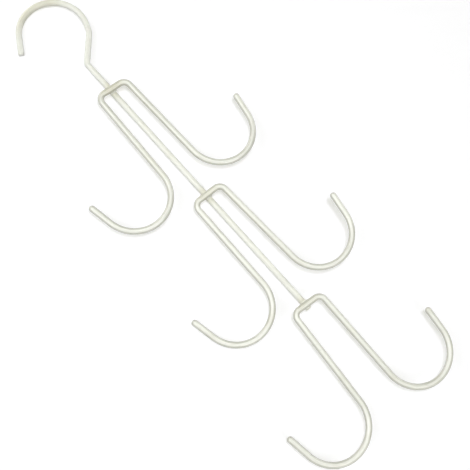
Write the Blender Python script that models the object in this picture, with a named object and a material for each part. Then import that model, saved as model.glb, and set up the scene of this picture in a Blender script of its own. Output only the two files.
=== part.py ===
"""Handbag hanger: a rod with a closet hook bent at its top, and double hooks welded across it.

Metres, +Z up. The origin is the saddle: the point inside the crown of the closet hook that rests
on a closet rod. The hooks spread along X, and the double hooks cross the rod on its front, which
faces -Y.
"""

import math

import bmesh
import bpy
from mathutils import Matrix, Vector

# Wires: the rod and the double hooks are cut from one stock, measured over the enamel
WIRE_DIAMETER = 0.0049
WELD_GAP = 0.0003

# Closet hook and neck, bent from the top of the rod. The heel is the straight run from the end of
# the round to the kink. Heel, neck and stem are measured to the corners of their bends.
CLOSET_HOOK_INNER_DIAMETER = 0.0477
CLOSET_HOOK_TIP_LENGTH = 0.0162
CLOSET_HOOK_TIP_TURN = math.radians(58.3)
CLOSET_HOOK_HEEL_TURN = math.radians(111.6)
HEEL_LENGTH = 0.0071
KINK_TURN = math.radians(21.5)
KINK_BEND_RADIUS = 0.004
NECK_LENGTH = 0.0273
NECK_BEND_RADIUS = 0.004
STEM_LENGTH = 0.0298
ROD_END_OVERHANG = 0.0018
ROD_END_ROUNDING = 0.0012

# Tiers: the lean of each double hook on its weld, clockwise as seen from the front, its turn about
# the rod, anticlockwise as seen from above, and the extra bend of its +X hook
TIER_SPACING = 0.110
TIER_LEANS = {
    "upper": math.radians(0.2),
    "middle": math.radians(-0.9),
    "lower": math.radians(3),
}
TIER_TURNS = {
    "upper": math.radians(2.3),
    "middle": math.radians(-1),
    "lower": math.radians(1.4),
}
EXTRA_BENDS = {
    "upper": 0,
    "middle": 0,
    "lower": math.radians(6),
}

# Double hook. Its crossbar falls slightly towards +X, and both legs end at one height.
LEG_SPACING = 0.0257
LEG_LENGTH = 0.0774
LEG_SPLAY = math.radians(1.75)
CROSSBAR_SLOPE = math.radians(3.3)
SHOULDER_BEND_RADIUS = 0.0056
BAG_HOOK_INNER_DIAMETER = 0.0488
BAG_HOOK_BEND = math.radians(168)
BAG_HOOK_TIP_LENGTH = 0.0194

# Weld: a flattened bead between rod and crossbar
WELD_WIDTH = 0.0074
WELD_HEIGHT = 0.0074
WELD_THICKNESS = 0.0037

# Fineness of the facets
WIRE_BEVEL_RESOLUTION = 4
BEND_STEP = math.radians(7.5)
END_STEPS = 4
END_ARC = math.radians(80)
WELD_SEGMENTS = 24
WELD_RINGS = 12
SMOOTH_ANGLE = math.radians(40)

# Enamel, linear RGB
ROD_COLOUR = (0.80, 0.79, 0.71, 1.0)
HOOK_COLOUR = (0.83, 0.82, 0.75, 1.0)
WELD_COLOUR = (0.74, 0.72, 0.63, 1.0)
WIRE_ROUGHNESS = 0.22
WELD_ROUGHNESS = 0.35

# Sizes that follow
WIRE_RADIUS = WIRE_DIAMETER / 2
CLOSET_HOOK_BEND_RADIUS = CLOSET_HOOK_INNER_DIAMETER / 2 + WIRE_RADIUS
BAG_HOOK_BEND_RADIUS = BAG_HOOK_INNER_DIAMETER / 2 + WIRE_RADIUS
NECK_TURN = CLOSET_HOOK_HEEL_TURN + KINK_TURN - math.pi / 2
CROSSBAR_Y = -(WIRE_DIAMETER + WELD_GAP)
WELD_Y = CROSSBAR_Y / 2
TIER_NAMES = list(TIER_LEANS)


def corner_length(radius, turn):
    """The length that a bend takes off each of the straight runs beside its corner."""
    return radius * math.tan(abs(turn) / 2)


def wire_route(start, heading, moves):
    """Points (x, z) along a wire that is bent flat.

    Each move is a straight run and then a bend, as (run, bend radius, turn). A positive turn is
    anticlockwise as seen from the front, and the heading is measured from +X.
    """
    point = Vector(start)
    route = [point.copy()]
    for run, radius, turn in moves:
        if run > 0:
            point = point + run * Vector((math.cos(heading), math.sin(heading)))
            route.append(point.copy())
        if turn == 0:
            continue
        side = math.copysign(1, turn)
        centre = point + side * radius * Vector((-math.sin(heading), math.cos(heading)))
        steps = math.ceil(abs(turn) / BEND_STEP)
        for step in range(1, steps + 1):
            angle = heading + turn * step / steps
            point = centre - side * radius * Vector((-math.sin(angle), math.cos(angle)))
            route.append(point.copy())
        heading += turn
    return route


def with_rounded_end(stations, rounding):
    """The stations (point, radius share) with the last one drawn in to a rounded end."""
    end = stations[-1][0]
    along = (end - stations[-2][0]).normalized()
    rounded = stations[:-1]
    for step in range(END_STEPS + 1):
        angle = END_ARC * step / END_STEPS
        point = end - along * rounding * (1 - math.sin(angle))
        rounded.append((point, 1 - rounding / WIRE_RADIUS * (1 - math.cos(angle))))
    return rounded


def enamel(name, colour, roughness):
    """A material of the ivory enamel."""
    material = bpy.data.materials.new(name)
    material.use_nodes = True
    shader = material.node_tree.nodes["Principled BSDF"]
    shader.inputs["Base Color"].default_value = colour
    shader.inputs["Roughness"].default_value = roughness
    shader.inputs["Metallic"].default_value = 0
    return material


def bent_wire(name, route, rounding, material, collection):
    """A round wire along the route, with both ends rounded."""
    stations = [(point, 1) for point in route]
    stations = with_rounded_end(stations, rounding)
    stations = with_rounded_end(stations[::-1], rounding)
    curve = bpy.data.curves.new(name, "CURVE")
    curve.dimensions = "3D"
    curve.twist_mode = "MINIMUM"
    curve.fill_mode = "FULL"
    curve.bevel_depth = WIRE_RADIUS
    curve.bevel_resolution = WIRE_BEVEL_RESOLUTION
    curve.use_fill_caps = True
    spline = curve.splines.new("POLY")
    spline.points.add(len(stations) - 1)
    for control, (point, share) in zip(spline.points, stations):
        control.co = (point.x, 0, point.y, 1)
        control.radius = share
    spline.use_smooth = True
    curve.materials.append(material)
    wire = bpy.data.objects.new(name, curve)
    collection.objects.link(wire)
    return wire


def round_bar(name, radius, length, collection):
    """A plain cylinder along Z, about its own middle, used as a cutter."""
    shape = bmesh.new()
    bmesh.ops.create_cone(
        shape,
        cap_ends=True,
        segments=WELD_SEGMENTS,
        radius1=radius,
        radius2=radius,
        depth=length,
    )
    mesh = bpy.data.meshes.new(name)
    shape.to_mesh(mesh)
    shape.free()
    bar = bpy.data.objects.new(name, mesh)
    bar.display_type = "WIRE"
    bar.hide_render = True
    collection.objects.link(bar)
    return bar


def rod_routes():
    """Routes from the crown of the closet hook: to its tip, and down to the rod's lower end.

    The second also gives the rod's X and the height of the first crossbar.
    """
    crown = (0, WIRE_RADIUS)
    tip_route = wire_route(
        crown,
        math.pi,
        [
            (0, CLOSET_HOOK_BEND_RADIUS, CLOSET_HOOK_TIP_TURN),
            (CLOSET_HOOK_TIP_LENGTH, 0, 0),
        ],
    )
    kink_corner = corner_length(KINK_BEND_RADIUS, KINK_TURN)
    neck_corner = corner_length(NECK_BEND_RADIUS, NECK_TURN)
    neck_route = wire_route(
        crown,
        0,
        [
            (0, CLOSET_HOOK_BEND_RADIUS, -CLOSET_HOOK_HEEL_TURN),
            (HEEL_LENGTH - kink_corner, KINK_BEND_RADIUS, -KINK_TURN),
            (NECK_LENGTH - kink_corner - neck_corner, NECK_BEND_RADIUS, NECK_TURN),
        ],
    )
    stem_start = neck_route[-1]
    first_tier_z = stem_start.y + neck_corner - STEM_LENGTH
    last_tier_z = first_tier_z - (len(TIER_NAMES) - 1) * TIER_SPACING
    end_z = last_tier_z - WIRE_RADIUS - ROD_END_OVERHANG
    rod_route = neck_route + [Vector((stem_start.x, end_z))]
    return tip_route, rod_route, stem_start.x, first_tier_z


def double_hook_side(side, extra_bend):
    """Route from the middle of the crossbar to one tip. The side is 1 towards +X and -1 towards -X."""
    heading = -side * CROSSBAR_SLOPE
    shoulder_turn = math.pi / 2 - LEG_SPLAY + heading
    shoulder = corner_length(SHOULDER_BEND_RADIUS, shoulder_turn)
    half_width = LEG_SPACING / 2
    shoulder_rise = half_width * math.tan(heading)
    crossbar_run = half_width / math.cos(heading) - shoulder
    leg_run = LEG_LENGTH + shoulder_rise / math.cos(LEG_SPLAY) - shoulder
    route = wire_route(
        (0, 0),
        heading,
        [
            (crossbar_run, SHOULDER_BEND_RADIUS, -shoulder_turn),
            (leg_run, BAG_HOOK_BEND_RADIUS, BAG_HOOK_BEND + extra_bend),
            (BAG_HOOK_TIP_LENGTH, 0, 0),
        ],
    )
    return [Vector((side * point.x, point.y)) for point in route]


def add_hanging_rod(collection):
    """The rod with its neck and closet hook. Gives the rod's X and the first crossbar's height."""
    tip_route, rod_route, rod_x, first_tier_z = rod_routes()
    route = tip_route[::-1] + rod_route[1:]
    material = enamel("rod_enamel", ROD_COLOUR, WIRE_ROUGHNESS)
    bent_wire("hanging_rod", route, ROD_END_ROUNDING, material, collection)
    return rod_x, first_tier_z


def add_double_hook(tier, place, collection):
    """One double hook, leaning and turned about its weld."""
    name = f"{tier}_double_hook"
    route = double_hook_side(-1, 0)[::-1] + double_hook_side(1, EXTRA_BENDS[tier])[1:]
    material = enamel(f"{tier}_hook_enamel", HOOK_COLOUR, WIRE_ROUGHNESS)
    hook = bent_wire(name, route, WIRE_RADIUS, material, collection)
    hook.location = place
    hook.rotation_euler = (0, TIER_LEANS[tier], TIER_TURNS[tier])


def add_weld(tier, place, rod_cutter, collection, cutters):
    """The bead between the rod and one crossbar, hollowed by both wires and their gap."""
    name = f"{tier}_weld"
    shape = bmesh.new()
    bmesh.ops.create_uvsphere(
        shape,
        u_segments=WELD_SEGMENTS,
        v_segments=WELD_RINGS,
        radius=1,
        matrix=Matrix.Diagonal((WELD_WIDTH / 2, WELD_THICKNESS / 2, WELD_HEIGHT / 2, 1)),
    )
    mesh = bpy.data.meshes.new(name)
    shape.to_mesh(mesh)
    shape.free()
    mesh.materials.append(enamel(f"{tier}_weld_enamel", WELD_COLOUR, WELD_ROUGHNESS))
    mesh.shade_smooth()
    mesh.set_sharp_from_angle(angle=SMOOTH_ANGLE)
    weld = bpy.data.objects.new(name, mesh)
    weld.location = (place.x, WELD_Y, place.z)
    collection.objects.link(weld)

    crossbar_cutter = round_bar(
        f"{tier}_crossbar_cutter", WIRE_RADIUS + WELD_GAP, LEG_SPACING, cutters
    )
    lean = CROSSBAR_SLOPE + TIER_LEANS[tier]
    crossbar_cutter.location = place
    crossbar_cutter.rotation_euler = (0, math.pi / 2 + lean, TIER_TURNS[tier])
    for cutter in (rod_cutter, crossbar_cutter):
        cut = weld.modifiers.new(cutter.name, "BOOLEAN")
        cut.operation = "DIFFERENCE"
        cut.solver = "EXACT"
        cut.object = cutter


def main():
    """Build the hanger in an emptied scene."""
    for old in list(bpy.data.objects):
        bpy.data.objects.remove(old, do_unlink=True)
    hanger = bpy.data.collections.new("handbag_hanger")
    cutters = bpy.data.collections.new("cutters")
    for collection in (hanger, cutters):
        bpy.context.scene.collection.children.link(collection)

    rod_x, first_tier_z = add_hanging_rod(hanger)
    tiers_height = len(TIER_NAMES) * TIER_SPACING
    rod_cutter = round_bar("rod_cutter", WIRE_RADIUS + WELD_GAP, tiers_height, cutters)
    middle_z = first_tier_z - (len(TIER_NAMES) - 1) * TIER_SPACING / 2
    rod_cutter.location = (rod_x, 0, middle_z)

    for number, tier in enumerate(TIER_NAMES):
        place = Vector((rod_x, CROSSBAR_Y, first_tier_z - number * TIER_SPACING))
        add_double_hook(tier, place, hanger)
        add_weld(tier, place, rod_cutter, hanger, cutters)


main()
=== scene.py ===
"""Looks of a handbag hanger of welded, ivory-enamelled wire, laid out as a Blender add-on.

Metres, +Z up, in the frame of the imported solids. The origin is the saddle under the crown of the
closet hook, the hooks spread along X, and the front faces -Y.
"""

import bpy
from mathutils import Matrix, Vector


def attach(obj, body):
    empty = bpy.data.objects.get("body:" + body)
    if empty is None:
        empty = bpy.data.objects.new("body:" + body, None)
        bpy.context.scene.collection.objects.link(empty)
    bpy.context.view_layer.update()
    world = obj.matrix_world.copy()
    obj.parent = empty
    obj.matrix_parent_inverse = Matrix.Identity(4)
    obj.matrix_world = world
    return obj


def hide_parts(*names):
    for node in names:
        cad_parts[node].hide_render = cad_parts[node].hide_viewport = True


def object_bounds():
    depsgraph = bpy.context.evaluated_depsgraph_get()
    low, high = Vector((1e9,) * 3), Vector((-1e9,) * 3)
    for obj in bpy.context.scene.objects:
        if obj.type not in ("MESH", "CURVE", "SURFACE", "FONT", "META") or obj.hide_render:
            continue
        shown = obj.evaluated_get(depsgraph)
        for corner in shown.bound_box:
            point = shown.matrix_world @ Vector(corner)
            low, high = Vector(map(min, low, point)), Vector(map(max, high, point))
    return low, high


bl_info = {
    "name": "Handbag Hanger",
    "version": (1, 0, 0),
    "blender": (4, 5, 0),
    "location": "3D View > Sidebar > Hanger",
    "description": "Builds the wires, welds, enamel and stage of a tiered handbag hanger",
    "category": "Add Mesh",
}

import math

import bpy
import numpy as np
from mathutils import Vector

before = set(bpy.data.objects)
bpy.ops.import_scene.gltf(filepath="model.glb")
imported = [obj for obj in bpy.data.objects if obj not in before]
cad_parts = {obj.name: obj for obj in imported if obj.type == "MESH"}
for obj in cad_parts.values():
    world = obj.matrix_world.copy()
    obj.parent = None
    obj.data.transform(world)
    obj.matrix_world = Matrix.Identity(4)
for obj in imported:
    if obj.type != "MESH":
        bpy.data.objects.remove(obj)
CAD_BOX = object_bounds()
CAD_MIDDLE = (CAD_BOX[0] + CAD_BOX[1]) / 2

BODY = "root"
TIERS = ("upper", "middle", "lower")

# Fineness of the meshes
WIRE_SIDES = 40
BEND_STEP = math.radians(3)
RUN_STEP = 0.003
END_RINGS = 9
CUT_RINGS = 4
WELD_SIDES = 72
WELD_RINGS = 48

# Unevenness of the wires and welds
BEND_FLATTENING = 0.07
COAT_WAVE = 0.006
COAT_WAVE_LENGTH = 0.019
COAT_WAVE_RATIO = 2.3
TIP_SWELL = 0.02
TIP_SWELL_LENGTH = 0.007
WELD_LOBE = 0.14
WELD_RIPPLE = 0.03
WELD_RIPPLES = 7
WELD_PHASE_STEP = 1.7

# Weight and roughness of the clear coat
ROD_GLOSS = (0.3, 0.4)
HOOK_GLOSS = (0.9, 0.12)
COAT_IOR = 1.5
BASE_ROUGHNESS = 0.3

# Painted shade at the silhouettes: how far the enamel goes to a painted edge shade where it turns away
# from the view, standing in for the dark lines that shading and dark reflections draw along the wires;
# that shade as shares of the enamel's own colour, and the range of Layer Weight's Facing in which it
# changes
ROD_PAINTED_EDGE_SHADE = 0.06
HOOK_PAINTED_EDGE_SHADE = 0.45
WELD_PAINTED_EDGE_SHADE = 0
PAINTED_EDGE_SHADE_SHARES = (0.32, 0.31, 0.22, 1)
PAINTED_EDGE_SHADE_FACING = (0.08, 0.17)

# Stains where the enamel is thin near the welds, and painted shade on the closet hook's crown: their
# reach and strength, and the share of the reach at full strength
ROD_STAIN = (0.011, 0.8)
# Painted shade: the crown's darker, warmer patch stands in for shading where the crown turns away from
# the light.
CROWN_PAINTED_SHADE = (0.03, 0.9)
HOOK_STAIN_REACH = 0.014
HOOK_STAIN_STRENGTHS = (1, 0.7, 0.4)
BEAD_STAIN = (0.008, 0.3)
STAIN_CORE_SHARE = 1 / 3

# Scale, detail and roughness of the coat's noises
CLOUDS = (55, 2, 0.5)
SPECKS = (900, 1, 0.4)
PEEL = (420, 2, 0.5)

# What the noises do: a range of the noise, and the range of thinning or roughness that it becomes
THIN_SPOTS = (0.52, 0.78, 0, 0.35)
PIN_SPOTS = (0.70, 0.80, 0, 0.25)
DULL_SPOTS = (0.3, 0.75, -0.03, 0.06)
CLOUD_HEIGHT = 2
BUMP_STRENGTH = 0.25
BUMP_DISTANCE = 0.0001

# Softboxes: name, setting of the power, degrees right of the front, degrees up, distance and size
LAMPS = (
    ("key_lamp", "key_power", 5, 2, 1.2, 0.09),
    ("front_panel", "front_power", 0, 0, 1.5, 0.8),
    ("left_panel", "left_power", -40, 20, 1.5, 1.1),
    ("upper_panel", "upper_power", 0, 70, 1.5, 0.8),
    ("lower_panel", "lower_power", 0, -55, 1.5, 0.9),
    ("right_panel", "right_power", 70, 0, 1.5, 0.8),
    ("gloss_strip", "strip_power", 74, 0, 1.5, 1.2),
    ("back_panel", "back_power", 167, 5, 1.5, 1.2),
)
UNSEEN_IN_GLOSS = "key_lamp"
ONLY_IN_GLOSS = "gloss_strip"

# Table, room and camera
# The table's glow is warmer and its paper bluer than white. Where the table lies in shadow, this shows
# as a painted warm tint standing in for light bounced off the ivory wires.
PAPER_COLOUR = (0.63, 0.63, 0.73, 1)
GLOW_WITH_WARM_SHADOW_TINT = (1, 1, 0.8, 1)
GLOW_STRENGTH = 0.44
ROOM_COLOUR = (1, 0.99, 0.96, 1)
WHITE = (1, 1, 1, 1)
SENSOR_WIDTH = 36
CLIP_START = 0.01


class HangerSizes(bpy.types.PropertyGroup):
    """Sizes of the wires and welds."""

    wire_diameter: bpy.props.FloatProperty(
        name="Wire diameter",
        description="Diameter of every wire over its enamel",
        default=0.0049,
        min=0.001,
        unit="LENGTH",
    )
    weld_gap: bpy.props.FloatProperty(
        name="Weld gap",
        description="Room between the crossbars and the rod, filled by the welds",
        default=0.0003,
        min=0,
        unit="LENGTH",
    )
    closet_inner_diameter: bpy.props.FloatProperty(
        name="Closet hook inner diameter",
        description="Inside of the closet hook",
        default=0.0477,
        min=0.01,
        unit="LENGTH",
    )
    closet_tip_length: bpy.props.FloatProperty(
        name="Closet hook tip",
        description="Straight end of the closet hook",
        default=0.0162,
        min=0,
        unit="LENGTH",
    )
    closet_tip_turn: bpy.props.FloatProperty(
        name="Closet hook tip turn",
        description="Bend from the crown of the closet hook to its tip",
        default=math.radians(58.3),
        subtype="ANGLE",
    )
    closet_heel_turn: bpy.props.FloatProperty(
        name="Closet hook heel turn",
        description="Bend from the crown of the closet hook to its heel",
        default=math.radians(111.6),
        subtype="ANGLE",
    )
    heel_length: bpy.props.FloatProperty(
        name="Heel length",
        description="Straight run from the end of the closet hook's round to the kink's corner",
        default=0.0071,
        min=0.001,
        unit="LENGTH",
    )
    kink_turn: bpy.props.FloatProperty(
        name="Kink turn",
        description="Sharp bend where the closet hook's heel meets the neck",
        default=math.radians(21.5),
        subtype="ANGLE",
    )
    kink_radius: bpy.props.FloatProperty(
        name="Kink radius",
        description="Bend radius of the kink",
        default=0.004,
        min=0.001,
        unit="LENGTH",
    )
    neck_length: bpy.props.FloatProperty(
        name="Neck length",
        description="Slanting neck, between the corners of its bends",
        default=0.0273,
        min=0.01,
        unit="LENGTH",
    )
    neck_radius: bpy.props.FloatProperty(
        name="Neck radius",
        description="Bend radius between neck and rod",
        default=0.004,
        min=0.001,
        unit="LENGTH",
    )
    stem_length: bpy.props.FloatProperty(
        name="Stem length",
        description="From the neck's corner down to the upper crossbar",
        default=0.0298,
        min=0.005,
        unit="LENGTH",
    )
    rod_overhang: bpy.props.FloatProperty(
        name="Rod overhang",
        description="Stub of the rod below the lower crossbar",
        default=0.0018,
        min=0,
        unit="LENGTH",
    )
    cut_rounding: bpy.props.FloatProperty(
        name="Cut rounding",
        description="Rounding of the rod's cut ends",
        default=0.0012,
        min=0.0001,
        unit="LENGTH",
    )
    tier_spacing: bpy.props.FloatProperty(
        name="Tier spacing",
        description="From one crossbar to the next",
        default=0.110,
        min=0.05,
        unit="LENGTH",
    )
    tier_leans: bpy.props.FloatVectorProperty(
        name="Tier leans",
        description="Lean of each double hook, clockwise as seen from the front",
        default=(math.radians(0.2), math.radians(-0.9), math.radians(3)),
        subtype="EULER",
    )
    tier_turns: bpy.props.FloatVectorProperty(
        name="Tier turns",
        description="Turn of each double hook about the rod, anticlockwise as seen from above",
        default=(math.radians(2.3), math.radians(-1), math.radians(1.4)),
        subtype="EULER",
    )
    extra_bends: bpy.props.FloatVectorProperty(
        name="Extra bends",
        description="Extra bend of the +X hook of each tier",
        default=(0, 0, math.radians(6)),
        subtype="EULER",
    )
    leg_spacing: bpy.props.FloatProperty(
        name="Leg spacing",
        description="Between the corners of a crossbar",
        default=0.0257,
        min=0.01,
        unit="LENGTH",
    )
    leg_length: bpy.props.FloatProperty(
        name="Leg length",
        description="From a crossbar's corner down to the start of the bag hook",
        default=0.0774,
        min=0.02,
        unit="LENGTH",
    )
    leg_splay: bpy.props.FloatProperty(
        name="Leg splay",
        description="How far each leg leans outwards",
        default=math.radians(1.75),
        subtype="ANGLE",
    )
    crossbar_slope: bpy.props.FloatProperty(
        name="Crossbar slope",
        description="Fall of the crossbar towards +X",
        default=math.radians(3.3),
        subtype="ANGLE",
    )
    shoulder_radius: bpy.props.FloatProperty(
        name="Shoulder radius",
        description="Bend radius between crossbar and leg",
        default=0.0056,
        min=0.001,
        unit="LENGTH",
    )
    bag_inner_diameter: bpy.props.FloatProperty(
        name="Bag hook inner diameter",
        description="Inside of a bag hook",
        default=0.0488,
        min=0.01,
        unit="LENGTH",
    )
    bag_hook_bend: bpy.props.FloatProperty(
        name="Bag hook bend",
        description="Bend of a bag hook",
        default=math.radians(168),
        subtype="ANGLE",
    )
    bag_hook_tip: bpy.props.FloatProperty(
        name="Bag hook tip",
        description="Straight end of a bag hook",
        default=0.0194,
        min=0,
        unit="LENGTH",
    )
    weld_size: bpy.props.FloatVectorProperty(
        name="Weld size",
        description="Width, thickness and height of a weld",
        default=(0.0074, 0.0037, 0.0074),
        unit="LENGTH",
    )


class HangerFinish(bpy.types.PropertyGroup):
    """Colours of the enamel."""

    enamel: bpy.props.FloatVectorProperty(
        name="Enamel",
        description="Ivory enamel of all the wires",
        default=(0.85, 0.858, 0.768),
        subtype="COLOR",
        min=0,
        max=1,
    )
    # Also the colour of the painted shade on the closet hook's crown.
    thin_enamel_and_shade: bpy.props.FloatVectorProperty(
        name="Thin enamel",
        description="Enamel where it lies thin and warmer over the wire",
        default=(0.72, 0.71, 0.57),
        subtype="COLOR",
        min=0,
        max=1,
    )
    weld_stain: bpy.props.FloatVectorProperty(
        name="Weld stain",
        description="Tint of the enamel over a weld's heated wire",
        default=(0.66, 0.65, 0.53),
        subtype="COLOR",
        min=0,
        max=1,
    )


class HangerStage(bpy.types.PropertyGroup):
    """Camera, lamps and the white table that the hanger lies on."""

    camera_place: bpy.props.FloatVectorProperty(
        name="Camera place",
        description="Where the camera stands",
        default=(-0.11054, -0.47364, -0.27899),
        subtype="TRANSLATION",
        unit="LENGTH",
    )
    camera_turn: bpy.props.FloatVectorProperty(
        name="Camera turn",
        description="How the camera is turned",
        default=(math.radians(96.764), math.radians(41.975), math.radians(-8.506)),
        subtype="EULER",
    )
    camera_lens: bpy.props.FloatProperty(
        name="Camera lens",
        description="Focal length in millimetres for a 36 mm sensor",
        default=49.787,
        min=1,
    )
    table_tilt: bpy.props.FloatProperty(
        name="Table tilt",
        description="The hanger lies on its rod and on its -X tips, so the table falls away towards +X",
        default=math.radians(2.9),
        subtype="ANGLE",
    )
    table_size: bpy.props.FloatProperty(
        name="Table size",
        description="Width and height of the white table",
        default=3,
        min=1,
        unit="LENGTH",
    )
    table_fade: bpy.props.FloatVectorProperty(
        name="Table fade",
        description="Distances from the hanger's middle between which the table fades into the white",
        default=(0.32, 0.55),
        size=2,
        unit="LENGTH",
    )
    key_power: bpy.props.FloatProperty(
        name="Key power",
        description="Power of the small lamp in front, in watts",
        default=3.4,
        min=0,
    )
    front_power: bpy.props.FloatProperty(
        name="Front power",
        description="Power of the panel in front, in watts",
        default=5.6,
        min=0,
    )
    left_power: bpy.props.FloatProperty(
        name="Left power",
        description="Power of the panel at the left, in watts",
        default=8.6,
        min=0,
    )
    upper_power: bpy.props.FloatProperty(
        name="Upper power",
        description="Power of the panel above, in watts",
        default=6,
        min=0,
    )
    lower_power: bpy.props.FloatProperty(
        name="Lower power",
        description="Power of the panel below, in watts",
        default=7.4,
        min=0,
    )
    right_power: bpy.props.FloatProperty(
        name="Right power",
        description="Power of the panel at the right, in watts",
        default=0.8,
        min=0,
    )
    strip_power: bpy.props.FloatProperty(
        name="Strip power",
        description="Power of the panel that shows only in the gloss, in watts",
        default=11,
        min=0,
    )
    back_power: bpy.props.FloatProperty(
        name="Back power",
        description="Power of the panel behind, opposite the camera, in watts",
        default=8,
        min=0,
    )
    room_light: bpy.props.FloatProperty(
        name="Room light",
        description="Strength of the light from all round",
        default=0.02,
        min=0,
    )


# Routes of the wires


def corner_length(radius, turn):
    """The length that a bend takes off each of the straight runs beside its corner."""
    return radius * math.tan(abs(turn) / 2)


def wire_route(start, heading, moves):
    """Points, headings and curvatures along a wire that is bent flat, as arrays.

    A straight run is start + distance × (cosine, sine) of the heading, at even distances. A bend is
    centre - side × radius × (-sine, cosine) of the angle, with the angle going evenly from the old
    heading to the new one. A move is (run, bend radius, turn), a positive turn anticlockwise.
    """
    here = np.array(start, float)
    points, headings, curvatures = [here[None]], [np.array([heading])], [np.zeros(1)]
    for run, radius, turn in moves:
        if run > 0:
            steps = math.ceil(run / RUN_STEP)
            away = np.arange(1, steps + 1)[:, None] * run / steps
            line = here + away * np.array([math.cos(heading), math.sin(heading)])
            points.append(line)
            headings.append(np.full(steps, heading))
            curvatures.append(np.zeros(steps))
            here = line[-1]
        if turn:
            side = math.copysign(1, turn)
            centre = here + side * radius * np.array([-math.sin(heading), math.cos(heading)])
            steps = math.ceil(abs(turn) / BEND_STEP)
            angles = heading + turn * np.arange(1, steps + 1) / steps
            across = np.stack([-np.sin(angles), np.cos(angles)], 1)
            points.append(centre - side * radius * across)
            headings.append(angles)
            curvatures.append(np.full(steps, side / radius))
            here = points[-1][-1]
            heading += turn
    return np.concatenate(points), np.concatenate(headings), np.concatenate(curvatures)


def reversed_route(route):
    """The same route walked from its other end."""
    points, headings, curvatures = route
    return points[::-1], headings[::-1] + math.pi, -curvatures[::-1]


def joined_routes(first, second):
    """Two routes that share a point, as one."""
    return tuple(np.concatenate([a, b[1:]]) for a, b in zip(first, second))


def mirrored_route(route):
    """The route with its X turned round."""
    points, headings, curvatures = route
    return points * np.array([-1, 1]), math.pi - headings, -curvatures


def rod_plan(sizes):
    """The rod's route from the closet hook's tip to the lower end, its X, and the upper crossbar's Z."""
    wire_radius = sizes.wire_diameter / 2
    bend_radius = sizes.closet_inner_diameter / 2 + wire_radius
    neck_turn = sizes.closet_heel_turn + sizes.kink_turn - math.pi / 2
    kink_corner = corner_length(sizes.kink_radius, sizes.kink_turn)
    neck_corner = corner_length(sizes.neck_radius, neck_turn)
    crown = (0, wire_radius)
    tip = wire_route(
        crown,
        math.pi,
        [(0, bend_radius, sizes.closet_tip_turn), (sizes.closet_tip_length, 0, 0)],
    )
    bends = [
        (0, bend_radius, -sizes.closet_heel_turn),
        (sizes.heel_length - kink_corner, sizes.kink_radius, -sizes.kink_turn),
        (sizes.neck_length - kink_corner - neck_corner, sizes.neck_radius, neck_turn),
    ]
    rod_x, stem_z = wire_route(crown, 0, bends)[0][-1]
    upper_z = stem_z + neck_corner - sizes.stem_length
    lower_z = upper_z - (len(TIERS) - 1) * sizes.tier_spacing
    stem_run = stem_z - lower_z + wire_radius + sizes.rod_overhang
    down = wire_route(crown, 0, bends + [(stem_run, 0, 0)])
    return joined_routes(reversed_route(tip), down), rod_x, upper_z


def weld_places(sizes):
    """Middle of each crossbar, where it crosses the rod."""
    _, rod_x, upper_z = rod_plan(sizes)
    crossbar_y = -(sizes.wire_diameter + sizes.weld_gap)
    return [(rod_x, crossbar_y, upper_z - number * sizes.tier_spacing) for number in range(len(TIERS))]


def double_hook_side(sizes, side, extra_bend):
    """Route from the middle of the crossbar to the tip on one side, 1 towards +X."""
    heading = -side * sizes.crossbar_slope
    shoulder_turn = math.pi / 2 - sizes.leg_splay + heading
    shoulder = corner_length(sizes.shoulder_radius, shoulder_turn)
    half_width = sizes.leg_spacing / 2
    rise = half_width * math.tan(heading)
    crossbar_run = half_width / math.cos(heading) - shoulder
    leg_run = sizes.leg_length + rise / math.cos(sizes.leg_splay) - shoulder
    bend_radius = (sizes.bag_inner_diameter + sizes.wire_diameter) / 2
    route = wire_route(
        (0, 0),
        heading,
        [
            (crossbar_run, sizes.shoulder_radius, -shoulder_turn),
            (leg_run, bend_radius, sizes.bag_hook_bend + extra_bend),
            (sizes.bag_hook_tip, 0, 0),
        ],
    )
    return route if side > 0 else mirrored_route(route)


def turned_tier(points, lean, turn, place):
    """The points leaned about Y, clockwise from the front, then turned about Z, then moved to place."""
    x, y, z = points.T
    leaned_x = x * math.cos(lean) + z * math.sin(lean)
    leaned_z = z * math.cos(lean) - x * math.sin(lean)
    turned_x = leaned_x * math.cos(turn) - y * math.sin(turn)
    turned_y = leaned_x * math.sin(turn) + y * math.cos(turn)
    return np.stack([turned_x, turned_y, leaned_z], 1) + np.array(place)


# Meshes


def grid_faces(rows, columns):
    """Four-sided faces between neighbouring rings, each ring closed on itself."""
    row, column = np.meshgrid(np.arange(rows - 1), np.arange(columns), indexing="ij")
    after = (column + 1) % columns
    corners = (
        row * columns + column,
        row * columns + after,
        (row + 1) * columns + after,
        (row + 1) * columns + column,
    )
    return np.stack(corners, -1).reshape(-1, 4)


def cap_faces(ring, pole, turned):
    """Triangles from one ring to the point that closes it."""
    after = np.roll(ring, -1)
    ends = (after, ring) if turned else (ring, after)
    return np.stack([ends[0], ends[1], np.full(len(ring), pole)], 1)


def closed_surface(name, rings, first_pole, last_pole):
    """A mesh object from rings of points, shaped (rings, sides, 3), closed at a point on each end."""
    rows, columns = rings.shape[:2]
    points = np.concatenate([rings.reshape(-1, 3), [first_pole, last_pole]])
    count = rows * columns
    first = cap_faces(np.arange(columns), count, True)
    last = cap_faces(np.arange(columns) + (rows - 1) * columns, count + 1, False)
    faces = grid_faces(rows, columns).tolist() + first.tolist() + last.tolist()
    mesh = bpy.data.meshes.new(name)
    mesh.from_pydata(points.tolist(), [], faces)
    mesh.validate()
    mesh.shade_smooth()
    piece = bpy.data.objects.new(name, mesh)
    bpy.context.scene.collection.objects.link(piece)
    return piece


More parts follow.
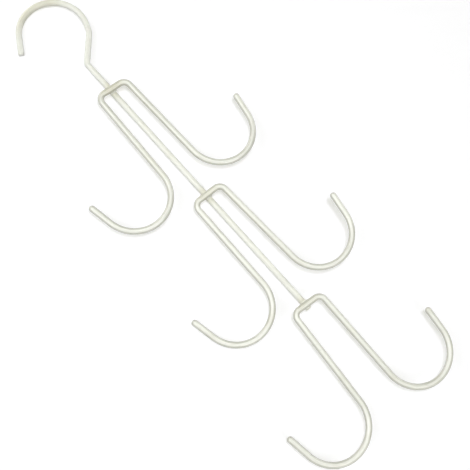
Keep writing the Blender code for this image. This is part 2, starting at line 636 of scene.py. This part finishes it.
def end_shares(rounding, wire_radius, rings):
    """How far before the end each ring of a rounded end lies, and its share of the wire's radius.

    The edge is a quarter circle: distance = rounding × (1 - sine), share = 1 - rounding / radius ×
    (1 - cosine), as the angle goes from nothing to a right angle.
    """
    angles = np.linspace(0, math.pi / 2, rings)
    back = rounding * (1 - np.sin(angles))
    return back, 1 - rounding / wire_radius * (1 - np.cos(angles))


def smoothed(values, lengths, reach):
    """Each value's mean over its neighbours, weighted by a bell curve of the distance along the wire."""
    apart = (lengths[:, None] - lengths[None, :]) / reach
    weights = np.exp(-(apart**2))
    return (weights * values[None, :]).sum(1) / weights.sum(1)


def with_ends(first, inner, last):
    """Values along a wire, with one value for all the rings of each rounded end."""
    return np.concatenate([np.full(END_RINGS, first), inner, np.full(END_RINGS, last)])


def wire_rings(route, wire_radius, rounding, phase):
    """Rings of a round wire along a flat route, with rounded ends, shaped (rings, sides, 3).

    A ring is the route's point + radius × (cosine × the route's normal in its plane + sine × the
    front direction). In a bend the ring is narrower in the plane and wider across it, by the wire's
    radius over the bend's. The coat waves a little along the wire and swells towards its ends.
    """
    points, headings, curvatures = route
    gaps = np.linalg.norm(np.diff(points, axis=0), axis=1)
    lengths = np.concatenate([[0], np.cumsum(gaps)])
    flattening = smoothed(np.abs(curvatures), lengths, wire_radius) * wire_radius
    flattening = BEND_FLATTENING * np.minimum(flattening, 1)
    from_end = np.minimum(lengths, lengths[-1] - lengths)
    waves = lengths / COAT_WAVE_LENGTH
    wave = np.sin(waves + phase) * np.sin(waves / COAT_WAVE_RATIO)
    swell = TIP_SWELL * np.exp(-((from_end / TIP_SWELL_LENGTH) ** 2))
    inside = from_end > rounding
    along = np.stack([np.cos(headings), np.sin(headings)], 1)

    back, shares = end_shares(rounding, wire_radius, END_RINGS)
    last = points[-1] - along[-1] * back[:, None]
    first = points[0] + along[0] * back[::-1, None]
    spots = np.concatenate([first, points[inside], last])
    turns = with_ends(headings[0], headings[inside], headings[-1])
    squash = with_ends(0, flattening[inside], 0)
    coat = with_ends(TIP_SWELL, (COAT_WAVE * wave + swell)[inside], TIP_SWELL)
    share = np.concatenate([shares[::-1], np.ones(inside.sum()), shares])

    radius = wire_radius * share * (1 + coat)
    round_angles = np.arange(WIRE_SIDES) * 2 * math.pi / WIRE_SIDES
    in_plane = radius[:, None] * (1 - squash)[:, None] * np.cos(round_angles)
    across = radius[:, None] * (1 + squash / 2)[:, None] * np.sin(round_angles)
    x = spots[:, :1] - np.sin(turns)[:, None] * in_plane
    z = spots[:, 1:] + np.cos(turns)[:, None] * in_plane
    return np.stack([x, -across, z], 2)


def flat_capped(rings):
    """The rings with smaller ones added on each end's flat, down to near its middle."""
    shrink = np.linspace(1, 0, CUT_RINGS + 1)[1:-1]
    first, last = rings[0], rings[-1]
    first_middle, last_middle = first.mean(0), last.mean(0)
    before = first_middle + (first - first_middle) * shrink[::-1, None, None]
    after = last_middle + (last - last_middle) * shrink[:, None, None]
    return np.concatenate([before, rings, after])


def pointed(rings):
    """The rings without the first and the last, which have shrunk to points, and those points."""
    return rings[1:-1], rings[0].mean(0), rings[-1].mean(0)


def weld_rings(size, phase):
    """Rings of a weld from its -X side to its +X side, about its own middle, shaped (rings, sides, 3).

    An ellipsoid whose radius grows in four lobes, into the corners between rod and crossbar, and
    carries small ripples: 1 - lobe + lobe × squared sine of twice the angle + ripple × sine × cosine.
    The first and last rings are the points that close it.
    """
    polar = np.linspace(0, math.pi, WELD_RINGS + 2)[:, None]
    turn = np.arange(WELD_SIDES)[None, :] * 2 * math.pi / WELD_SIDES
    x = np.cos(polar) * np.ones_like(turn)
    y = np.sin(polar) * np.cos(turn)
    z = np.sin(polar) * np.sin(turn)
    corner = np.arctan2(z, x)
    lobes = 1 - WELD_LOBE + WELD_LOBE * np.sin(2 * corner) ** 2
    ripples = WELD_RIPPLE * np.sin(WELD_RIPPLES * x + phase) * np.cos(WELD_RIPPLES * z - phase)
    radius = (lobes + ripples)[..., None]
    return radius * np.stack([-x, y, z], 2) * np.array(size) / 2


def finish_piece(piece, material, nodes):
    """Dress a finished piece, let it ride with the hanger and stand for its solids."""
    piece.data.materials.append(material)
    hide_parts(*nodes)
    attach(piece, BODY)


# Materials


def linked(tree, source, target):
    """Join an output to an input."""
    tree.links.new(source, target)


def fed(tree, value, target):
    """Join an output to an input, or set the input to a plain value."""
    if isinstance(value, bpy.types.NodeSocket):
        linked(tree, value, target)
    else:
        target.default_value = value


def math_node(tree, operation, first, second, clamp=False):
    """A Math node whose inputs are outputs or numbers."""
    node = tree.nodes.new("ShaderNodeMath")
    node.operation = operation
    node.use_clamp = clamp
    fed(tree, first, node.inputs[0])
    fed(tree, second, node.inputs[1])
    return node.outputs[0]


def object_place(tree):
    """The surface's place on its piece."""
    return tree.nodes.new("ShaderNodeTexCoord").outputs["Object"]


def distance_node(tree, place, spot):
    """The distance between a place and a spot, in metres."""
    node = tree.nodes.new("ShaderNodeVectorMath")
    node.operation = "DISTANCE"
    linked(tree, place, node.inputs[0])
    node.inputs[1].default_value = spot
    return node.outputs["Value"]


def noise_node(tree, vector, scale, detail, roughness):
    """A noise of about one spot per 1 / scale metres."""
    node = tree.nodes.new("ShaderNodeTexNoise")
    node.inputs["Scale"].default_value = scale
    node.inputs["Detail"].default_value = detail
    node.inputs["Roughness"].default_value = roughness
    linked(tree, vector, node.inputs["Vector"])
    return node.outputs["Fac"]


def range_node(tree, value, low, high, new_low, new_high):
    """A value mapped from one range to another, held at its ends."""
    node = tree.nodes.new("ShaderNodeMapRange")
    node.interpolation_type = "SMOOTHSTEP"
    linked(tree, value, node.inputs["Value"])
    names = ("From Min", "From Max", "To Min", "To Max")
    for name, number in zip(names, (low, high, new_low, new_high)):
        node.inputs[name].default_value = number
    return node.outputs["Result"]


def mixed_colours(tree, factor, first, second, blend="MIX"):
    """A colour between two others, or one multiplied by the other."""
    node = tree.nodes.new("ShaderNodeMix")
    node.data_type = "RGBA"
    node.blend_type = blend
    fed(tree, factor, node.inputs["Factor"])
    fed(tree, first, node.inputs["A"])
    fed(tree, second, node.inputs["B"])
    return node.outputs["Result"]


def mixed_shaders(tree, factor, first, second):
    """A shader between two others."""
    node = tree.nodes.new("ShaderNodeMixShader")
    linked(tree, factor, node.inputs["Fac"])
    linked(tree, first, node.inputs[1])
    linked(tree, second, node.inputs[2])
    return node.outputs[0]


def glow_node(tree, kind, colour, strength):
    """An Emission or Background of one colour and strength."""
    node = tree.nodes.new(kind)
    node.inputs["Color"].default_value = colour
    node.inputs["Strength"].default_value = strength
    return node.outputs[0]


def enamel_group():
    """A dipped enamel coat: its colour, a painted shade for its edges, its roughness and its height."""
    name = "dipped_enamel"
    if name in bpy.data.node_groups:
        return bpy.data.node_groups[name]
    tree = bpy.data.node_groups.new(name, "ShaderNodeTree")
    face = tree.interface
    for socket in ("Enamel", "Thin Enamel"):
        face.new_socket(socket, in_out="INPUT", socket_type="NodeSocketColor")
    for socket in ("Thinning", "Gloss Roughness"):
        face.new_socket(socket, in_out="INPUT", socket_type="NodeSocketFloat")
    for socket in ("Colour", "Edge Colour"):
        face.new_socket(socket, in_out="OUTPUT", socket_type="NodeSocketColor")
    for socket in ("Roughness", "Height"):
        face.new_socket(socket, in_out="OUTPUT", socket_type="NodeSocketFloat")

    given = tree.nodes.new("NodeGroupInput")
    result = tree.nodes.new("NodeGroupOutput")
    place = object_place(tree)
    clouds, specks, peel = (noise_node(tree, place, *noise) for noise in (CLOUDS, SPECKS, PEEL))
    thin_spots = range_node(tree, clouds, *THIN_SPOTS)
    pin_spots = range_node(tree, specks, *PIN_SPOTS)
    # On the rod, the given thinning also carries the painted shade on the crown.
    thinning_and_shade = math_node(tree, "ADD", thin_spots, given.outputs["Thinning"], True)
    thinning_and_shade = math_node(tree, "MAXIMUM", thinning_and_shade, pin_spots, True)
    colour = mixed_colours(tree, thinning_and_shade, given.outputs["Enamel"], given.outputs["Thin Enamel"])
    # Painted shade: the enamel's colour darkened by fixed shares, for the wires' edges where they turn
    # away from the view.
    painted_edge_shade = mixed_colours(tree, 1, colour, PAINTED_EDGE_SHADE_SHARES, "MULTIPLY")
    dull = range_node(tree, peel, *DULL_SPOTS)
    roughness = math_node(tree, "ADD", dull, given.outputs["Gloss Roughness"], True)
    height = math_node(tree, "ADD", peel, math_node(tree, "MULTIPLY", clouds, CLOUD_HEIGHT))
    linked(tree, colour, result.inputs["Colour"])
    linked(tree, painted_edge_shade, result.inputs["Edge Colour"])
    linked(tree, roughness, result.inputs["Roughness"])
    linked(tree, height, result.inputs["Height"])
    return tree


def enamel_material(name, enamel, thin_enamel_and_shade, gloss, edge, stains_and_shade):
    """Ivory enamel that thins and warms near each stain and darkens under each spot of painted shade,
    all given as (place, reach, strength).

    The gloss is the weight and roughness of its clear coat, and the edge how far it goes to a painted
    edge shade where it turns away from the view.
    """
    material = bpy.data.materials.new(name)
    material.use_nodes = True
    tree = material.node_tree
    shader = tree.nodes["Principled BSDF"]
    coat = tree.nodes.new("ShaderNodeGroup")
    coat.node_tree = enamel_group()
    coat.inputs["Enamel"].default_value = (*enamel, 1)
    coat.inputs["Thin Enamel"].default_value = (*thin_enamel_and_shade, 1)
    coat.inputs["Gloss Roughness"].default_value = BASE_ROUGHNESS
    place = object_place(tree)
    thinning_and_shade = 0
    for spot, reach, strength in stains_and_shade:
        apart = distance_node(tree, place, spot)
        near = range_node(tree, apart, reach * STAIN_CORE_SHARE, reach, strength, 0)
        thinning_and_shade = math_node(tree, "MAXIMUM", thinning_and_shade, near)
    fed(tree, thinning_and_shade, coat.inputs["Thinning"])
    # Painted shade: the base colour goes towards the painted edge shade as the surface turns away from
    # the view.
    facing = tree.nodes.new("ShaderNodeLayerWeight")
    painted_edge_shade_mask = range_node(tree, facing.outputs["Facing"], *PAINTED_EDGE_SHADE_FACING, 0, edge)
    colour = mixed_colours(tree, painted_edge_shade_mask, coat.outputs["Colour"], coat.outputs["Edge Colour"])
    linked(tree, colour, shader.inputs["Base Color"])
    linked(tree, coat.outputs["Roughness"], shader.inputs["Roughness"])
    relief = tree.nodes.new("ShaderNodeBump")
    relief.inputs["Strength"].default_value = BUMP_STRENGTH
    relief.inputs["Distance"].default_value = BUMP_DISTANCE
    linked(tree, coat.outputs["Height"], relief.inputs["Height"])
    linked(tree, relief.outputs["Normal"], shader.inputs["Normal"])
    shader.inputs["Coat Weight"].default_value = gloss[0]
    shader.inputs["Coat Roughness"].default_value = gloss[1]
    shader.inputs["Coat IOR"].default_value = COAT_IOR
    return material


# Stage


def add_camera(scene, stage):
    """The camera where the photograph was taken."""
    camera = bpy.data.cameras.new("photo_camera")
    camera.lens = stage.camera_lens
    camera.sensor_width = SENSOR_WIDTH
    camera.clip_start = CLIP_START
    viewer = bpy.data.objects.new("photo_camera", camera)
    viewer.location = stage.camera_place
    viewer.rotation_euler = stage.camera_turn
    scene.collection.objects.link(viewer)
    scene.camera = viewer


def add_table(stage, sizes):
    """The white table behind the hanger. It touches the rod's back and shows only from the front."""
    half = stage.table_size / 2
    rod_x = rod_plan(sizes)[1]
    slope = math.tan(stage.table_tilt)
    table_y = sizes.wire_diameter / 2 / math.cos(stage.table_tilt)
    corners = [
        (rod_x + side * half, table_y + side * half * slope, CAD_MIDDLE.z + up * half)
        for side, up in ((-1, -1), (1, -1), (1, 1), (-1, 1))
    ]
    mesh = bpy.data.meshes.new("white_table")
    mesh.from_pydata(corners, [], [(0, 1, 2, 3)])
    mesh.materials.append(table_material(stage))
    table = bpy.data.objects.new("white_table", mesh)
    bpy.context.scene.collection.objects.link(table)


def table_material(stage):
    """White paper that keeps soft shadows, warmed by a painted tint of bounced light from its glow, and
    fades into the white far from the hanger.

    It can't be seen from behind and holds no lamp back.
    """
    material = bpy.data.materials.new("white_paper")
    material.use_nodes = True
    tree = material.node_tree
    tree.nodes.clear()
    paper = tree.nodes.new("ShaderNodeBsdfDiffuse")
    paper.inputs["Color"].default_value = PAPER_COLOUR
    glow = glow_node(tree, "ShaderNodeEmission", GLOW_WITH_WARM_SHADOW_TINT, GLOW_STRENGTH)
    no_glow = glow_node(tree, "ShaderNodeEmission", WHITE, 0)
    lit_paper = tree.nodes.new("ShaderNodeAddShader")
    linked(tree, paper.outputs[0], lit_paper.inputs[0])
    linked(tree, mixed_shaders(tree, background_rays(tree), no_glow, glow), lit_paper.inputs[1])
    apart = distance_node(tree, object_place(tree), CAD_MIDDLE)
    far = range_node(tree, apart, *stage.table_fade, 0, 1)
    seen_far = math_node(tree, "MULTIPLY", far, background_rays(tree))
    white = glow_node(tree, "ShaderNodeEmission", WHITE, 1)
    faded = mixed_shaders(tree, seen_far, lit_paper.outputs[0], white)
    behind = tree.nodes.new("ShaderNodeNewGeometry").outputs["Backfacing"]
    lamp_rays = tree.nodes.new("ShaderNodeLightPath").outputs["Is Shadow Ray"]
    unseen = math_node(tree, "MAXIMUM", behind, lamp_rays)
    clear = tree.nodes.new("ShaderNodeBsdfTransparent").outputs[0]
    output = tree.nodes.new("ShaderNodeOutputMaterial")
    linked(tree, mixed_shaders(tree, unseen, faded, clear), output.inputs["Surface"])
    return material


def background_rays(tree):
    """One for the rays that see the background: from the camera, off gloss and through glass."""
    seen = tree.nodes.new("ShaderNodeLightPath").outputs
    direct = math_node(tree, "MAXIMUM", seen["Is Camera Ray"], seen["Is Glossy Ray"])
    return math_node(tree, "MAXIMUM", direct, seen["Is Transmission Ray"])


def add_world(scene, stage):
    """Soft light from all round, and plain white where the camera looks past the table."""
    world = bpy.data.worlds.new("studio")
    scene.world = world
    world.use_nodes = True
    tree = world.node_tree
    tree.nodes.clear()
    room = glow_node(tree, "ShaderNodeBackground", ROOM_COLOUR, stage.room_light)
    white = glow_node(tree, "ShaderNodeBackground", WHITE, 1)
    output = tree.nodes.new("ShaderNodeOutputWorld")
    linked(tree, mixed_shaders(tree, background_rays(tree), room, white), output.inputs["Surface"])


def add_lamp(name, power, side, height, distance, size):
    """A square softbox facing the hanger's middle, at degrees to the right of the front and up."""
    lamp = bpy.data.lights.new(name, "AREA")
    lamp.size = size
    lamp.energy = power
    holder = bpy.data.objects.new(name, lamp)
    azimuth, elevation = math.radians(side), math.radians(height)
    level = distance * math.cos(elevation)
    up = distance * math.sin(elevation)
    away = Vector((level * math.sin(azimuth), -level * math.cos(azimuth), up))
    holder.location = CAD_MIDDLE + away
    holder.rotation_euler = (-away).to_track_quat("-Z", "Y").to_euler()
    bpy.context.scene.collection.objects.link(holder)
    return holder


# Operators


class HANGER_OT_rod(bpy.types.Operator):
    """Build the rod with its neck and closet hook"""

    bl_idname = "hanger.rod"
    bl_label = "Hanging Rod"

    def execute(self, context):
        sizes = context.scene.hanger_sizes
        finish = context.scene.hanger_finish
        route, _, _ = rod_plan(sizes)
        rings = flat_capped(wire_rings(route, sizes.wire_diameter / 2, sizes.cut_rounding, 0))
        rod = closed_surface("hanging_rod_wire", rings, rings[0].mean(0), rings[-1].mean(0))
        # The weld spots are heat stains; the crown's spot is painted shade.
        crown = (0, 0, 0)
        stains_and_shade = [(place, *ROD_STAIN) for place in weld_places(sizes)] + [(crown, *CROWN_PAINTED_SHADE)]
        material = enamel_material(
            "rod_enamel",
            finish.enamel,
            finish.thin_enamel_and_shade,
            ROD_GLOSS,
            ROD_PAINTED_EDGE_SHADE,
            stains_and_shade,
        )
        finish_piece(rod, material, ["hanging_rod"])
        return {"FINISHED"}


class HANGER_OT_double_hooks(bpy.types.Operator):
    """Build the double hook of each tier"""

    bl_idname = "hanger.double_hooks"
    bl_label = "Double Hooks"

    def execute(self, context):
        sizes = context.scene.hanger_sizes
        finish = context.scene.hanger_finish
        wire_radius = sizes.wire_diameter / 2
        for number, (tier, place) in enumerate(zip(TIERS, weld_places(sizes))):
            left = double_hook_side(sizes, -1, 0)
            right = double_hook_side(sizes, 1, sizes.extra_bends[number])
            route = joined_routes(reversed_route(left), right)
            rings = wire_rings(route, wire_radius, wire_radius, number)
            lean, turn = sizes.tier_leans[number], sizes.tier_turns[number]
            rings = turned_tier(rings.reshape(-1, 3), lean, turn, place).reshape(rings.shape)
            hook = closed_surface(f"{tier}_double_hook_wire", *pointed(rings))
            material = enamel_material(
                f"{tier}_hook_enamel",
                finish.enamel,
                finish.thin_enamel_and_shade,
                HOOK_GLOSS,
                HOOK_PAINTED_EDGE_SHADE,
                [(place, HOOK_STAIN_REACH, HOOK_STAIN_STRENGTHS[number])],
            )
            finish_piece(hook, material, [f"{tier}_double_hook"])
        return {"FINISHED"}


class HANGER_OT_welds(bpy.types.Operator):
    """Build the weld that joins each crossbar to the rod"""

    bl_idname = "hanger.welds"
    bl_label = "Welds"

    def execute(self, context):
        sizes = context.scene.hanger_sizes
        finish = context.scene.hanger_finish
        for number, (tier, place) in enumerate(zip(TIERS, weld_places(sizes))):
            middle = np.array([place[0], place[1] / 2, place[2]])
            rings = weld_rings(sizes.weld_size, WELD_PHASE_STEP * number) + middle
            bead = closed_surface(f"{tier}_weld_bead", *pointed(rings))
            material = enamel_material(
                f"{tier}_weld_enamel",
                finish.enamel,
                finish.weld_stain,
                ROD_GLOSS,
                WELD_PAINTED_EDGE_SHADE,
                [(place, *BEAD_STAIN)],
            )
            finish_piece(bead, material, [f"{tier}_weld"])
        return {"FINISHED"}


class HANGER_OT_stage(bpy.types.Operator):
    """Lay the hanger on a white table, with lamps and the camera"""

    bl_idname = "hanger.stage"
    bl_label = "Stage"

    def execute(self, context):
        scene = context.scene
        stage = scene.hanger_stage
        add_table(stage, scene.hanger_sizes)
        add_world(scene, stage)
        for name, power, *spot in LAMPS:
            lamp = add_lamp(name, getattr(stage, power), *spot)
            lamp.visible_glossy = name != UNSEEN_IN_GLOSS
            lamp.visible_diffuse = name != ONLY_IN_GLOSS
        add_camera(scene, stage)
        scene.view_settings.view_transform = "Standard"
        return {"FINISHED"}


# Panel and registration


class HANGER_PT_panel(bpy.types.Panel):
    """Sizes and colours of the hanger, and a button for each step"""

    bl_idname = "HANGER_PT_panel"
    bl_label = "Handbag Hanger"
    bl_space_type = "VIEW_3D"
    bl_region_type = "UI"
    bl_category = "Hanger"

    def draw(self, context):
        layout = self.layout
        for group in ("hanger_sizes", "hanger_finish", "hanger_stage"):
            settings = getattr(context.scene, group)
            box = layout.box()
            for name in settings.__annotations__:
                box.prop(settings, name)
        for step in STEPS:
            layout.operator(step.bl_idname)


STEPS = (HANGER_OT_rod, HANGER_OT_double_hooks, HANGER_OT_welds, HANGER_OT_stage)
GROUPS = (HangerSizes, HangerFinish, HangerStage)


def register():
    """Register the settings, the steps and the panel."""
    for kind in (*GROUPS, *STEPS, HANGER_PT_panel):
        bpy.utils.register_class(kind)
    bpy.types.Scene.hanger_sizes = bpy.props.PointerProperty(type=HangerSizes)
    bpy.types.Scene.hanger_finish = bpy.props.PointerProperty(type=HangerFinish)
    bpy.types.Scene.hanger_stage = bpy.props.PointerProperty(type=HangerStage)


def unregister():
    """Take away what register added."""
    del bpy.types.Scene.hanger_sizes
    del bpy.types.Scene.hanger_finish
    del bpy.types.Scene.hanger_stage
    for kind in (HANGER_PT_panel, *reversed(STEPS), *reversed(GROUPS)):
        bpy.utils.unregister_class(kind)


def main():
    """Build the hanger and its stage."""
    register()
    bpy.ops.hanger.rod()
    bpy.ops.hanger.double_hooks()
    bpy.ops.hanger.welds()
    bpy.ops.hanger.stage()


if __name__ == "__main__":
    main()
